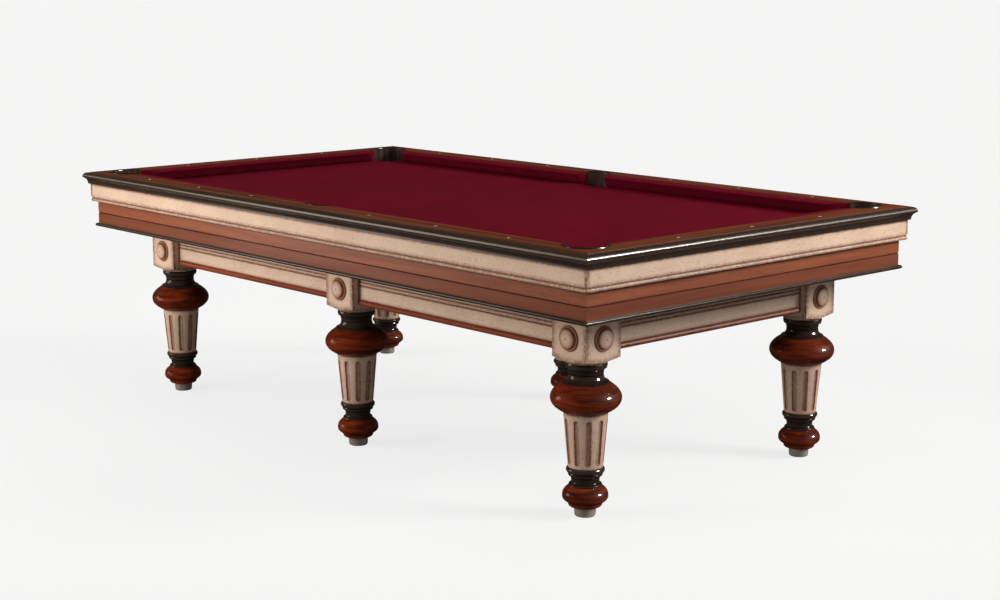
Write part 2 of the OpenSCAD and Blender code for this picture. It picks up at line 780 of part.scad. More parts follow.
module leg_column() {
  h = column_high - column_low;
  lean = atan((column_top_radius - column_foot_radius) / h);
  slant = (h - flute_low - flute_high) / cos(lean);
  low_r = column_foot_radius + (flute_low + flute_radius) * tan(lean);
  difference() {
    union() {
      translate([0, 0, column_low])
        cylinder(h = h, r1 = column_foot_radius, r2 = column_top_radius, $fn = 96);
      tenon_at(column_high);
    }
    mortise_at(column_low);
    for (k = [0 : flutes - 1]) rotate([0, 0, k * 360 / flutes])
      translate([low_r + flute_radius * flute_out_share, 0,
        column_low + flute_low + flute_radius]) rotate([0, lean, 0]) {
          cylinder(h = slant - 2 * flute_radius, r = flute_radius, $fn = 24);
          sphere(flute_radius, $fn = 24);
          translate([0, 0, slant - 2 * flute_radius]) sphere(flute_radius, $fn = 24);
        }
  }
}
flute_out_share = 0.25;
module levelling_foot() {
  rotate_extrude() polygon([[0, 0], [foot_low_radius - foot_chamfer, 0],
    [foot_low_radius, foot_chamfer], [foot_top_radius, foot_height], [stud_radius, foot_height],
    [stud_radius, foot_height + stud_length - stud_radius / 4],
    [stud_radius * 3 / 4, foot_height + stud_length], [0, foot_height + stud_length]]);
}
module place(sx, sy) { translate([sx * leg_at_x, sy * leg_at_y, 0]) children(); }

module block_at(sx, sy) {
  color("antiquewhite") place(sx, sy)
    if (sx == 0) mirror([0, sy > 0 ? 1 : 0, 0]) leg_block([[0, 1], [180, 0]]);
    else mirror([sx < 0 ? 1 : 0, 0, 0]) mirror([0, sy > 0 ? 1 : 0, 0])
      leg_block([[180, 0], [90, 1]]);
}
module leg_block_front_left() { block_at(-1, -1); }
module leg_block_front_middle() { block_at(0, -1); }
module leg_block_front_right() { block_at(1, -1); }
module leg_block_back_left() { block_at(-1, 1); }
module leg_block_back_middle() { block_at(0, 1); }
module leg_block_back_right() { block_at(1, 1); }
module collars_at(sx, sy) { color("black") place(sx, sy) leg_collars(); }
module leg_collars_front_left() { collars_at(-1, -1); }
module leg_collars_front_middle() { collars_at(0, -1); }
module leg_collars_front_right() { collars_at(1, -1); }
module leg_collars_back_left() { collars_at(-1, 1); }
module leg_collars_back_middle() { collars_at(0, 1); }
module leg_collars_back_right() { collars_at(1, 1); }
module bulbs_at(sx, sy) { color("brown") place(sx, sy) leg_bulbs(); }
module leg_bulbs_front_left() { bulbs_at(-1, -1); }
module leg_bulbs_front_middle() { bulbs_at(0, -1); }
module leg_bulbs_front_right() { bulbs_at(1, -1); }
module leg_bulbs_back_left() { bulbs_at(-1, 1); }
module leg_bulbs_back_middle() { bulbs_at(0, 1); }
module leg_bulbs_back_right() { bulbs_at(1, 1); }
module column_at(sx, sy) { color("antiquewhite") place(sx, sy) leg_column(); }
module leg_column_front_left() { column_at(-1, -1); }
module leg_column_front_middle() { column_at(0, -1); }
module leg_column_front_right() { column_at(1, -1); }
module leg_column_back_left() { column_at(-1, 1); }
module leg_column_back_middle() { column_at(0, 1); }
module leg_column_back_right() { column_at(1, 1); }
module foot_at(sx, sy) { color("gray") place(sx, sy) levelling_foot(); }
module levelling_foot_front_left() { foot_at(-1, -1); }
module levelling_foot_front_middle() { foot_at(0, -1); }
module levelling_foot_front_right() { foot_at(1, -1); }
module levelling_foot_back_left() { foot_at(-1, 1); }
module levelling_foot_back_middle() { foot_at(0, 1); }
module levelling_foot_back_right() { foot_at(1, 1); }
module foot_bushes() {
  color("silver") at_legs() translate([0, 0, foot_height]) difference() {
    cylinder(h = bush_length, r = bush_radius);
    translate([0, 0, -over]) cylinder(h = bush_length + 2 * over,
      r = stud_radius + stud_clearance);
  }
}

// Aprons
module apron_section() {
  reed = apron_reed_height / 2;
  g = apron_groove_low;
  difference() {
    union() {
      translate([-apron_thickness, apron_low])
        square([apron_thickness, base_bottom - apron_low]);
      translate([-reed * 2 / 3, g + apron_groove + reed]) circle(reed);
    }
    translate([-groove_depth, g]) square([groove_depth + over, apron_groove]);
    translate([-groove_depth, g + apron_groove + apron_reed_height])
      square([groove_depth + over, apron_groove]);
  }
}
module apron_board(length) {
  rotate([90, 0, -90]) linear_extrude(length, center = true) apron_section();
  for (s = [-1, 1]) translate([s * length / 2 - (s < 0 ? apron_tenon_length : over),
    apron_thickness / 2 - apron_tenon_thickness / 2, tenon_low])
      cube([apron_tenon_length + over, apron_tenon_thickness, tenon_high - tenon_low]);
}
module apron_bead(length) {
  span = length - 2 * bead_end_gap - 2 * bead_radius;
  intersection() {
    translate([0, -bead_standoff, apron_low + bead_radius]) rotate([0, 90, 0]) {
      cylinder(h = span, r = bead_radius, center = true, $fn = 32);
      for (s = [-1, 1]) translate([0, 0, s * span / 2]) sphere(bead_radius, $fn = 32);
    }
    translate([-length / 2, -bead_radius * 2, apron_low - over])
      cube([length, bead_radius * 2, 2 * bead_radius + 2 * over]);
  }
}
long_span = leg_at_x - block_width;
end_span = 2 * (leg_at_y - half_block);
module at_long_aprons() {
  for (mx = [0, 1], my = [0, 1]) mirror([mx, 0, 0]) mirror([0, my, 0])
    translate([leg_at_x / 2, -apron_y, 0]) children();
}
module at_end_aprons() {
  for (mx = [0, 1]) mirror([mx, 0, 0]) translate([apron_x, 0, 0]) rotate([0, 0, 90]) children();
}
module long_aprons() { color("antiquewhite") at_long_aprons() apron_board(long_span); }
module end_aprons() { color("antiquewhite") at_end_aprons() apron_board(end_span); }
module apron_beads() {
  color("brown") { at_long_aprons() apron_bead(long_span); at_end_aprons() apron_bead(end_span); }
}

// Rosettes on the outer block faces
dome_round_share = 0.4;
point_share = 0.75;
module rosette() {
  r = rosette_radius;
  d = rosette_dome_radius;
  e = rosette_ring / 4;
  k = rosette_dome_rise * dome_round_share;
  point = rosette_dome_rise + rosette_point_rise;
  rotate_extrude() polygon(concat([[0, 0], [r, 0], [r, 2 * e], [r - e / 2, 3 * e],
      [r - 2 * e, rosette_ring], [d + 2 * e, rosette_ring], [d + e / 2, 3 * e],
      [d - e / 2, 2 * e], [d, 3 * e]],
    [for (i = [0 : 6]) let (a = i * 90 / 6)
      [d - k + k * cos(a), rosette_dome_rise - k + k * sin(a)]],
    [[(d - k) / 2, rosette_dome_rise + rosette_point_rise / 2],
      [rosette_point_radius, rosette_dome_rise + rosette_point_rise * point_share],
      [0, point]]));
}
module rosettes() {
  color("antiquewhite") {
    for (sx = [-1, 0, 1], sy = [-1, 1])
      translate([sx * leg_at_x, sy * block_face_y, rosette_mid]) rotate([-sy * 90, 0, 0])
        rosette();
    for (sx = [-1, 1], sy = [-1, 1])
      translate([sx * (leg_at_x + half_block), sy * leg_at_y, rosette_mid])
        rotate([0, sx * 90, 0]) rosette();
  }
}

// Frame
module cross_beams() {
  h = slate_bottom - frieze_bottom;
  seam = 2 * (stretch + slate_out) / slate_slabs / 2;
  nut_low = leg_bolt_top - leg_bolt_radius * 2;
  color("peru") difference() {
    union() {
      for (sx = [-1, 0, 1]) translate([sx * leg_at_x - half_block, -board_in, frieze_bottom])
        cube([block_width, 2 * board_in, h]);
      for (sx = [-1, 1]) translate([sx * seam - seam_beam_width / 2, -board_in, frieze_bottom])
        cube([seam_beam_width, 2 * board_in, h]);
    }
    translate([0, 0, cup_bottom - over]) linear_extrude(bed - cup_bottom + over)
      pocket_plan(-over / 2);
    at_legs() translate([0, 0, frieze_bottom - over])
      cylinder(h = leg_bolt_top - frieze_bottom + over, r = clear(leg_bolt_radius));
    at_legs() translate([-half_block - over, -leg_bolt_radius * nut_access_share,
      nut_low - leg_bolt_radius]) cube([block_width + 2 * over,
        2 * leg_bolt_radius * nut_access_share, leg_bolt_radius * 4]);
  }
}
nut_access_share = 2.6;
module hex_nut(r, z) {
  translate([0, 0, z]) cylinder(h = 2 * r * nut_height_share, r = r * nut_radius_share,
    $fn = 6);
}
module frame_bolts() {
  nut_low = leg_bolt_top - leg_bolt_radius * 3;
  color("silver") {
    at_legs() {
      translate([0, 0, base_bottom - leg_bolt_depth])
        cylinder(h = leg_bolt_length, r = leg_bolt_radius);
      hex_nut(leg_bolt_radius, nut_low);
    }
    drill_rail_bolts(rail_bolt_radius, slate_bottom, slate_top + rail_bolt_grip);
    drill_rail_bolts(rail_bolt_radius * nut_radius_share,
      slate_bottom - 2 * rail_bolt_radius * nut_height_share, slate_bottom);
  }
}

leg_block_front_left();
leg_block_front_middle();
leg_block_front_right();
leg_block_back_left();
leg_block_back_middle();
leg_block_back_right();
leg_collars_front_left();
leg_collars_front_middle();
leg_collars_front_right();
leg_collars_back_left();
leg_collars_back_middle();
leg_collars_back_right();
leg_bulbs_front_left();
leg_bulbs_front_middle();
leg_bulbs_front_right();
leg_bulbs_back_left();
leg_bulbs_back_middle();
leg_bulbs_back_right();
leg_column_front_left();
leg_column_front_middle();
leg_column_front_right();
leg_column_back_left();
leg_column_back_middle();
leg_column_back_right();
levelling_foot_front_left();
levelling_foot_front_middle();
levelling_foot_front_right();
levelling_foot_back_left();
levelling_foot_back_middle();
levelling_foot_back_right();
rail_front();
rail_back();
rail_left();
rail_right();
cushion_front_left();
cushion_front_right();
cushion_back_left();
cushion_back_right();
cushion_left();
cushion_right();
fascia_front();
fascia_back();
fascia_left();
fascia_right();
cabinet_sides();
cabinet_ends();
top_mouldings();
base_boards();
long_aprons();
end_aprons();
apron_beads();
slate_bed();
bed_cloth();
pocket_liners();
pocket_rims();
rosettes();
sights();
cross_beams();
frame_bolts();
foot_bushes();
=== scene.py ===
"""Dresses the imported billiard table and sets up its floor, lights and camera."""

import logging
import math
from abc import ABC, abstractmethod
from dataclasses import dataclass, field
from enum import Enum

import bpy
from mathutils import Euler, Matrix, Vector


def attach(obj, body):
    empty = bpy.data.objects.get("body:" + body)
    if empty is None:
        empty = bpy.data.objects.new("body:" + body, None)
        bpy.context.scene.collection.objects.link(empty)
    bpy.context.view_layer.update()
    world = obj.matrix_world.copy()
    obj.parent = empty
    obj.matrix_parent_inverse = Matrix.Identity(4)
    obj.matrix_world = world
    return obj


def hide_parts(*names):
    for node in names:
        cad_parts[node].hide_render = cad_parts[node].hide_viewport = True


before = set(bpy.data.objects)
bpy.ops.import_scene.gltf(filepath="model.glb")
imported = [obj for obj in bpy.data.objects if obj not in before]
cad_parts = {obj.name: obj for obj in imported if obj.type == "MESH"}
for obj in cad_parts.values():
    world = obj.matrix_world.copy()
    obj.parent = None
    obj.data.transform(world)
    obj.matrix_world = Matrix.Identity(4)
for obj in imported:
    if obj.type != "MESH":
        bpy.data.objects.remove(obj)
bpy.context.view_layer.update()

logging.basicConfig(level=logging.INFO, format="%(name)s: %(message)s")
LOG = logging.getLogger("table_scene")

Point2 = tuple[float, float]
Point3 = tuple[float, float, float]
Circle = tuple[Point2, float]
Rgb = tuple[float, float, float]
Face = tuple[int, ...]
Socket = bpy.types.NodeSocket

# The mix node numbers its sockets over all kinds of values: these are the ones for colours.
MIX_SHARE = 0
MIX_ONE = 6
MIX_TWO = 7
MIX_RESULT = 2

# How many rays the nodes that look for edges and hollows send out.
SEARCH_RAYS = 6

# Two faces that meet at more degrees than this keep a sharp edge.
SHARP_ANGLE = 35.0


class Grain(Enum):
    """The directions that a piece's grain runs in."""

    ALONG_X = "x"
    ALONG_Y = "y"
    ALONG_Z = "z"
    LEVEL = "xy"


class Side(Enum):
    """A long side, as the sign of its Y."""

    FRONT = -1
    BACK = 1


class End(Enum):
    """A short side, as the sign of its X."""

    LEFT = -1
    RIGHT = 1


def from_screen(red: int, green: int, blue: int) -> Rgb:
    """Turns a colour as it shows on a screen into the linear colour that shaders use.

    Args:
        red: Red, from 0 to 255.
        green: Green, from 0 to 255.
        blue: Blue, from 0 to 255.

    Returns:
        The linear colour.
    """
    def linear(value: int) -> float:
        """Turns one channel into linear light, by the numbers of the sRGB standard."""
        v = value / 255
        return v / 12.92 if v <= 0.04045 else ((v + 0.055) / 1.055) ** 2.4
    return linear(red), linear(green), linear(blue)


def grey(level: float) -> Rgb:
    """Gives the linear grey that has this level in all three channels."""
    return level, level, level


def plug(value: Socket | float | Rgb, target: Socket) -> None:
    """Links a socket to an input, or sets the input's own value.

    Args:
        value: A socket, a number or a colour.
        target: The input.
    """
    if isinstance(value, bpy.types.NodeSocket):
        target.id_data.links.new(value, target)
    elif isinstance(value, tuple) and target.type == "RGBA":
        target.default_value = (*value, 1.0)
    else:
        target.default_value = value


def mix(tree: bpy.types.NodeTree, share: Socket | float, one: Socket | Rgb,
        two: Socket | Rgb) -> Socket:
    """Mixes two colours.

    Args:
        tree: The node tree.
        share: The share of the second colour.
        one: The first colour.
        two: The second colour.

    Returns:
        The colour socket.
    """
    node = tree.nodes.new("ShaderNodeMix")
    node.data_type = "RGBA"
    plug(share, node.inputs[MIX_SHARE])
    plug(one, node.inputs[MIX_ONE])
    plug(two, node.inputs[MIX_TWO])
    return node.outputs[MIX_RESULT]


@dataclass(frozen=True)
class Span:
    """Two values that a mask runs smoothly between, and the mask at each of them."""

    low: float
    high: float
    at_low: float = 0.0
    at_high: float = 1.0


@dataclass(frozen=True)
class Layer:
    """A layer of noise: its scales per metre, where it shows and how it is made."""

    lengthwise: float
    across: float
    span: Span
    octaves: float
    rough: float
    bend: float = 0.0


def even(scale: float, span: Span, octaves: float, rough: float) -> Layer:
    """Makes a layer that has one scale in all directions."""
    return Layer(scale, scale, span, octaves, rough)


class Graph:
    """Builds one material's node tree, whose colour is covered step by step."""

    def __init__(self, name: str, grain: Grain, colour: Rgb) -> None:
        """Starts a material that holds only a shader and an output.

        Args:
            name: The material's name.
            grain: The direction of its grain.
            colour: The colour that the others are laid over.
        """
        self.material = bpy.data.materials.new(name)
        self.material.use_nodes = True
        self.grain = grain
        self.colour: Socket | Rgb = colour
        self.tree = self.material.node_tree
        self.tree.nodes.clear()
        self.shader = self.tree.nodes.new("ShaderNodeBsdfPrincipled")
        out = self.tree.nodes.new("ShaderNodeOutputMaterial")
        plug(self.shader.outputs["BSDF"], out.inputs["Surface"])

    def place(self, lengthwise: float, across: float) -> Socket:
        """Gives the object's coordinates, scaled with the grain and across it.

        Args:
            lengthwise: The factor along the grain.
            across: The factor across the grain.

        Returns:
            The vector socket.
        """
        coords = self.tree.nodes.new("ShaderNodeTexCoord")
        mapping = self.tree.nodes.new("ShaderNodeMapping")
        plug(coords.outputs["Object"], mapping.inputs["Vector"])
        scale = tuple(lengthwise if axis in self.grain.value else across for axis in "xyz")
        plug(scale, mapping.inputs["Scale"])
        return mapping.outputs["Vector"]

    def axes(self, vector: Socket) -> tuple[Socket, Socket, Socket]:
        """Parts a vector into its X, Y and Z.

        Args:
            vector: The vector.

        Returns:
            The three sockets.
        """
        split = self.tree.nodes.new("ShaderNodeSeparateXYZ")
        plug(vector, split.inputs["Vector"])
        return split.outputs["X"], split.outputs["Y"], split.outputs["Z"]

    def noise(self, layer: Layer) -> Socket:
        """Adds the noise of a layer.

        Args:
            layer: The layer.

        Returns:
            The noise, from 0 to 1.
        """
        node = self.tree.nodes.new("ShaderNodeTexNoise")
        plug(self.place(layer.lengthwise, layer.across), node.inputs["Vector"])
        plug(1.0, node.inputs["Scale"])
        plug(layer.octaves, node.inputs["Detail"])
        plug(layer.rough, node.inputs["Roughness"])
        plug(layer.bend, node.inputs["Distortion"])
        return node.outputs["Fac"]

    def spread(self, value: Socket, span: Span) -> Socket:
        """Turns a value smoothly into a mask.

        Args:
            value: The value.
            span: The values that the mask runs between.

        Returns:
            The mask socket.
        """
        node = self.tree.nodes.new("ShaderNodeMapRange")
        node.interpolation_type = "SMOOTHSTEP"
        plug(value, node.inputs["Value"])
        plug(span.low, node.inputs["From Min"])
        plug(span.high, node.inputs["From Max"])
        plug(span.at_low, node.inputs["To Min"])
        plug(span.at_high, node.inputs["To Max"])
        return node.outputs["Result"]

    def mask(self, layer: Layer) -> Socket:
        """Adds the noise of a layer as a mask that runs over the layer's span."""
        return self.spread(self.noise(layer), layer.span)

    def cells(self, scale: float, span: Span) -> Socket:
        """Finds dots that lie in the middle of irregular cells.

        Args:
            scale: The number of cells per metre.
            span: The distances from a cell's middle that the mask runs between.

        Returns:
            The mask socket.
        """
        node = self.tree.nodes.new("ShaderNodeTexVoronoi")
        plug(self.place(scale, scale), node.inputs["Vector"])
        plug(1.0, node.inputs["Scale"])
        return self.spread(node.outputs["Distance"], span)

    def math(self, operation: str, one: Socket | float, two: Socket | float = 0.0) -> Socket:
        """Combines two values.

        Args:
            operation: The operation's name.
            one: The first value.
            two: The second value, which some operations leave out.

        Returns:
            The result socket.
        """
        node = self.tree.nodes.new("ShaderNodeMath")
        node.operation = operation
        plug(one, node.inputs[0])
        plug(two, node.inputs[1])
        return node.outputs["Value"]

    def edges(self, reach: float, span: Span) -> Socket:
        """Finds the surface near sharp edges and corners.

        Args:
            reach: How far from an edge it looks, in metres.
            span: The turns of the normal that the mask runs between.

        Returns:
            The mask socket.
        """
        bevel = self.tree.nodes.new("ShaderNodeBevel")
        bevel.samples = SEARCH_RAYS
        plug(reach, bevel.inputs["Radius"])
        geometry = self.tree.nodes.new("ShaderNodeNewGeometry")
        dot = self.tree.nodes.new("ShaderNodeVectorMath")
        dot.operation = "DOT_PRODUCT"
        plug(bevel.outputs["Normal"], dot.inputs[0])
        plug(geometry.outputs["Normal"], dot.inputs[1])
        return self.spread(self.math("SUBTRACT", 1.0, dot.outputs["Value"]), span)

    def hollows(self, reach: float, span: Span) -> Socket:
        """Finds the surface in grooves and inner corners.

        Args:
            reach: How far a wall may be, in metres.
            span: The shares of open sky that the mask runs between.

        Returns:
            The mask socket.
        """
        node = self.tree.nodes.new("ShaderNodeAmbientOcclusion")
        node.samples = SEARCH_RAYS
        plug(reach, node.inputs["Distance"])
        return self.spread(node.outputs["AO"], span)

    def below(self, height: float, soft: float, share: float) -> Socket:
        """Finds what lies under a height.

        Args:
            height: The height, in metres above the floor.
            soft: Half the height over which the mask fades, in metres.
            share: The mask under the height.

        Returns:
            The mask socket.
        """
        coords = self.tree.nodes.new("ShaderNodeTexCoord")
        z = self.axes(coords.outputs["Object"])[2]
        return self.spread(z, Span(height - soft, height + soft, share, 0.0))

    def slopes(self, span: Span) -> Socket:
        """Finds the surface that leans away from the upright X and Y faces.

        Args:
            span: The leans that the mask runs between, as cosines.

        Returns:
            The mask socket.
        """
        coords = self.tree.nodes.new("ShaderNodeTexCoord")
        x, y, _ = self.axes(coords.outputs["Normal"])
        return self.spread(self.math("MAXIMUM", self.math("ABSOLUTE", x),
                                     self.math("ABSOLUTE", y)), span)

    def cover(self, share: Socket | float, colour: Rgb) -> None:
        """Lays a colour over what the surface shows so far, where the mask is."""
        self.colour = mix(self.tree, share, self.colour, colour)

    def bump(self, height: Socket, depth: float, strength: float) -> None:
        """Gives the shader a bump.

        Args:
            height: The height from 0 to 1.
            depth: The depth of the bump in metres.
            strength: How strongly it shows.
        """
        node = self.tree.nodes.new("ShaderNodeBump")
        plug(depth, node.inputs["Distance"])
        plug(strength, node.inputs["Strength"])
        plug(height, node.inputs["Height"])
        plug(node.outputs["Normal"], self.shader.inputs["Normal"])

    def finish(self, **values: Socket | float | Rgb) -> bpy.types.Material:
        """Gives the shader its colour and its other values.

        Args:
            **values: Each socket's name, with underscores for spaces, and its value.

        Returns:
            The finished material.
        """
        plug(self.colour, self.shader.inputs["Base Color"])
        for name, value in values.items():
            plug(value, self.shader.inputs[name.replace("_", " ")])
        return self.material


@dataclass(frozen=True)
class Finish(ABC):
    """What all finishes share."""

    name: str
    grain: Grain = Grain.ALONG_X

    @abstractmethod
    def make(self) -> bpy.types.Material:
        """Builds the material."""


@dataclass(frozen=True, kw_only=True)
class AgedPaint(Finish):
    """Cream paint with a brown patina in its grooves and on its edges, and painted shade on domes
    and slopes.
    """

    light: Rgb = from_screen(230, 199, 175)
    warm: Rgb = from_screen(219, 188, 163)
    patina_and_shade: Rgb = from_screen(120, 63, 42)
    fleck: Rgb = from_screen(92, 70, 54)
    cloud: Layer = even(7.0, Span(0.35, 0.7), octaves=4.0, rough=0.6)
    streak: Layer = Layer(2.5, 90.0, Span(0.42, 0.75, 0.0, 0.35), octaves=4.0, rough=0.55)
    fine: Layer = Layer(60.0, 420.0, Span(0.48, 0.76, 0.0, 0.32), octaves=3.0, rough=0.6)
    dot_scale: float = 74.0
    dot: Span = Span(0.08, 0.155, 0.8, 0.0)
    dotted: Layer = even(30.0, Span(0.40, 0.52), octaves=2.0, rough=0.5)
    rub: Layer = even(110.0, Span(0.3, 0.6, 0.35, 1.0), octaves=3.0, rough=0.5)
    edge_reach: float = 0.016
    edge: Span = Span(0.0004, 0.03, 0.0, 0.85)
    hollow_reach: float = 0.012
    hollow: Span = Span(0.45, 0.95, 0.9, 0.0)
    # Painted shade, partly real patina: these masks darken dome rims and leaning faces with the
    # patina colour.
    dome_shade_reach: float = 0.0
    dome_shade: Span = Span(0.002, 0.12, 0.0, 0.8)
    slope_shade: Span | None = None
    relief: float = 0.0002
    relief_strength: float = 0.5
    roughness: float = 0.5
    specular: float = 0.2

    def make(self) -> bpy.types.Material:
        """Builds the paint.

        Returns:
            The material.
        """
        g = Graph(self.name, self.grain, self.light)
        streak = g.noise(self.streak)
        fine = g.noise(self.fine)
        g.cover(g.mask(self.cloud), self.warm)
        g.cover(g.spread(streak, self.streak.span), self.warm)
        g.cover(g.spread(fine, self.fine.span), self.fleck)
        g.cover(g.math("MULTIPLY", g.cells(self.dot_scale, self.dot), g.mask(self.dotted)),
                self.fleck)
        g.cover(g.math("MULTIPLY", g.edges(self.edge_reach, self.edge), g.mask(self.rub)),
                self.patina_and_shade)
        g.cover(g.hollows(self.hollow_reach, self.hollow), self.patina_and_shade)
        # Painted shade, partly real patina: the patina colour laid on dome rims and on faces that
        # lean away.
        if self.dome_shade_reach > 0:
            g.cover(g.edges(self.dome_shade_reach, self.dome_shade), self.patina_and_shade)
        if self.slope_shade is not None:
            g.cover(g.slopes(self.slope_shade), self.patina_and_shade)
        g.bump(g.math("ADD", fine, streak), self.relief, self.relief_strength)
        return g.finish(Roughness=self.roughness, Specular_IOR_Level=self.specular)


@dataclass(frozen=True, kw_only=True)
class Wood(Finish):
    """Lacquered wood with long grain, broad bands and fine pores."""

    light: Rgb
    dark: Rgb
    pore: Rgb = from_screen(58, 27, 19)
    band: Layer = Layer(1.6, 34.0, Span(0.3, 0.72), octaves=5.0, rough=0.55, bend=0.6)
    ripple: Layer = Layer(7.0, 150.0, Span(0.45, 0.75, 0.0, 0.4), octaves=3.0, rough=0.6, bend=0.3)
    pores: Layer = Layer(24.0, 720.0, Span(0.56, 0.74, 0.0, 0.55), octaves=2.0, rough=0.6)
    figure: Layer | None = None
    dim_below: float = 0.0
    dim: Rgb = from_screen(104, 50, 34)
    dim_soft: float = 0.0004
    dim_share: float = 0.55
    seam_reach: float = 0.0
    seam: Span = Span(0.35, 0.9, 1.0, 0.0)
    seam_tone: Rgb = from_screen(58, 30, 22)
    relief: float = 0.00015
    relief_strength: float = 0.35
    roughness: float = 0.5
    specular: float = 0.15
    coat: float = 0.1
    coat_roughness: float = 0.14

    def make(self) -> bpy.types.Material:
        """Builds the wood.

        Returns:
            The material.
        """
        g = Graph(self.name, self.grain, self.light)
        ripple = g.noise(self.ripple)
        pores = g.noise(self.pores)
        g.cover(g.mask(self.band), self.dark)
        g.cover(g.spread(ripple, self.ripple.span), self.dark)
        g.cover(g.spread(pores, self.pores.span), self.pore)
        if self.figure is not None:
            g.cover(g.mask(self.figure), self.pore)
        if self.dim_below > 0:
            g.cover(g.below(self.dim_below, self.dim_soft, self.dim_share), self.dim)
        if self.seam_reach > 0:
            g.cover(g.hollows(self.seam_reach, self.seam), self.seam_tone)
        g.bump(g.math("ADD", pores, ripple), self.relief, self.relief_strength)
        return g.finish(Roughness=self.roughness, Specular_IOR_Level=self.specular,
                        Coat_Weight=self.coat, Coat_Roughness=self.coat_roughness)


@dataclass(frozen=True, kw_only=True)
class BlackLacquer(Finish):
    """Near black lacquer with brown streaks, glossy, and painted shade in its hollows when
    hollow_reach is set.
    """

    base: Rgb = from_screen(48, 35, 26)
    brown: Rgb = from_screen(62, 46, 35)
    painted_groove_shade: Rgb = from_screen(10, 7, 6)
    streak: Layer = Layer(3.0, 60.0, Span(0.4, 0.72), octaves=4.0, rough=0.6)
    smear: Layer = even(22.0, Span(0.3, 0.7, -0.01, 0.02), octaves=3.0, rough=0.6)
    hollow_reach: float = 0.0
    hollow: Span = Span(0.6, 0.97, 1.0, 0.0)
    roughness: float = 0.3
    specular: float = 0.08
    coat: float = 1.0
    coat_roughness: float

    def make(self) -> bpy.types.Material:
        """Builds the lacquer.

        Returns:
            The material.
        """
        g = Graph(self.name, self.grain, self.base)
        g.cover(g.mask(self.streak), self.brown)
        # Painted shade: the hollows turn near black where little light would reach.
        if self.hollow_reach > 0:
            g.cover(g.hollows(self.hollow_reach, self.hollow), self.painted_groove_shade)
        return g.finish(Roughness=g.math("ADD", g.mask(self.smear), self.roughness),
                        Specular_IOR_Level=self.specular, Coat_Weight=self.coat,
                        Coat_Roughness=self.coat_roughness)


@dataclass(frozen=True, kw_only=True)
class BedCloth(Finish):
    """Napped woollen cloth, woven fine."""

    light: Rgb = from_screen(100, 14, 31)
    dark: Rgb = from_screen(95, 13, 29)
    thread: float = 0.0008
    nap: Layer = even(9.0, Span(0.35, 0.68), octaves=4.0, rough=0.6)
    fuzz: Layer = even(750.0, Span(0.4, 0.75, 0.0, 0.45), octaves=3.0, rough=0.65)
    weave: Span = Span(-1.0, 1.0)
    weave_share: float = 0.12
    weave_relief: float = 0.5
    relief: float = 0.0002
    relief_strength: float = 0.4
    roughness: float = 0.95
    specular: float = 0.01

    def make(self) -> bpy.types.Material:
        """Builds the cloth.

        Returns:
            The material.
        """
        g = Graph(self.name, self.grain, self.light)
        fuzz = g.noise(self.fuzz)
        x, y, z = g.axes(g.place(math.tau / self.thread, math.tau / self.thread))
        warp = g.math("SINE", g.math("ADD", x, z))
        weft = g.math("SINE", g.math("ADD", y, z))
        weave = g.spread(g.math("MULTIPLY", warp, weft), self.weave)
        g.cover(g.mask(self.nap), self.dark)
        g.cover(g.spread(fuzz, self.fuzz.span), self.dark)
        g.cover(g.math("MULTIPLY", weave, self.weave_share), self.dark)
        g.bump(g.math("ADD", fuzz, g.math("MULTIPLY", weave, self.weave_relief)), self.relief,
               self.relief_strength)
        return g.finish(Roughness=self.roughness, Specular_IOR_Level=self.specular)


@dataclass(frozen=True, kw_only=True)
class Plain(Finish):
    """A smooth finish with a fine mottle, for metal, stone and moulded pieces.

    It has clouds too, which are cloud_size times as wide as the mottle.
    """

    base: Rgb
    other: Rgb
    scale: float
    mottle: Span = Span(0.35, 0.68)
    cloud_size: float = 14.0
    cloud: Span = Span(0.4, 0.8, 0.0, 0.3)
    relief: float = 0.0001
    relief_strength: float = 0.4
    roughness: float = 0.3
    metallic: float = 0.0
    coat: float = 0.0
    coat_roughness: float = 0.08

    def make(self) -> bpy.types.Material:
        """Builds the finish.

        Returns:
            The material.
        """
        g = Graph(self.name, self.grain, self.base)
        mottle = g.noise(even(self.scale, self.mottle, octaves=4.0, rough=0.6))
        clouds = even(self.scale / self.cloud_size, self.cloud, octaves=3.0, rough=0.5)
        g.cover(g.spread(mottle, self.mottle), self.other)
        g.cover(g.mask(clouds), self.other)
        g.bump(mottle, self.relief, self.relief_strength)
        return g.finish(Roughness=self.roughness, Metallic=self.metallic,
                        Coat_Weight=self.coat, Coat_Roughness=self.coat_roughness)


def dress(names: list[str], finish: Finish) -> None:
    """Gives CAD nodes a finish.

    Args:
        names: The nodes.
        finish: The finish.
    """
    material = finish.make()
    for name in names:
        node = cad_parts[name]
        if not node.material_slots:
            node.data.materials.append(material)
        for slot in node.material_slots:
            slot.material = material
        LOG.info("%s wears %s", name, material.name)


def add_piece(name: str, points: list[Point3], faces: list[Face],
              material: bpy.types.Material, smooth: bool = True) -> bpy.types.Object:
    """Makes a mesh piece.

    Args:
        name: The piece's name.
        points: Its corners in the frame, in metres.
        faces: Its faces, as indices of corners.
        material: Its material.
        smooth: Whether it is shaded smooth up to sharp edges.

    Returns:
        The object.
    """
    mesh = bpy.data.meshes.new(name)
    mesh.from_pydata(points, [], faces)
    mesh.validate()
    mesh.materials.append(material)
    piece = bpy.data.objects.new(name, mesh)
    bpy.context.scene.collection.objects.link(piece)
    if smooth:
        mesh.shade_smooth()
        mesh.set_sharp_from_angle(angle=math.radians(SHARP_ANGLE))
    LOG.info("%s is made of %s, in %d faces", name, material.name, len(faces))
    return piece


def bridge(rings: int, count: int, sides: list[tuple[int, int]]) -> list[Face]:
    """Joins rings of count points each, one to the next, on the given sides of a ring."""
    return [(k * count + i, k * count + j, (k + 1) * count + j, (k + 1) * count + i)
            for k in range(rings - 1) for i, j in sides]


def around(count: int) -> list[tuple[int, int]]:
    """Lists the sides of a closed ring of points, as pairs of neighbours."""
    return [(i, (i + 1) % count) for i in range(count)]


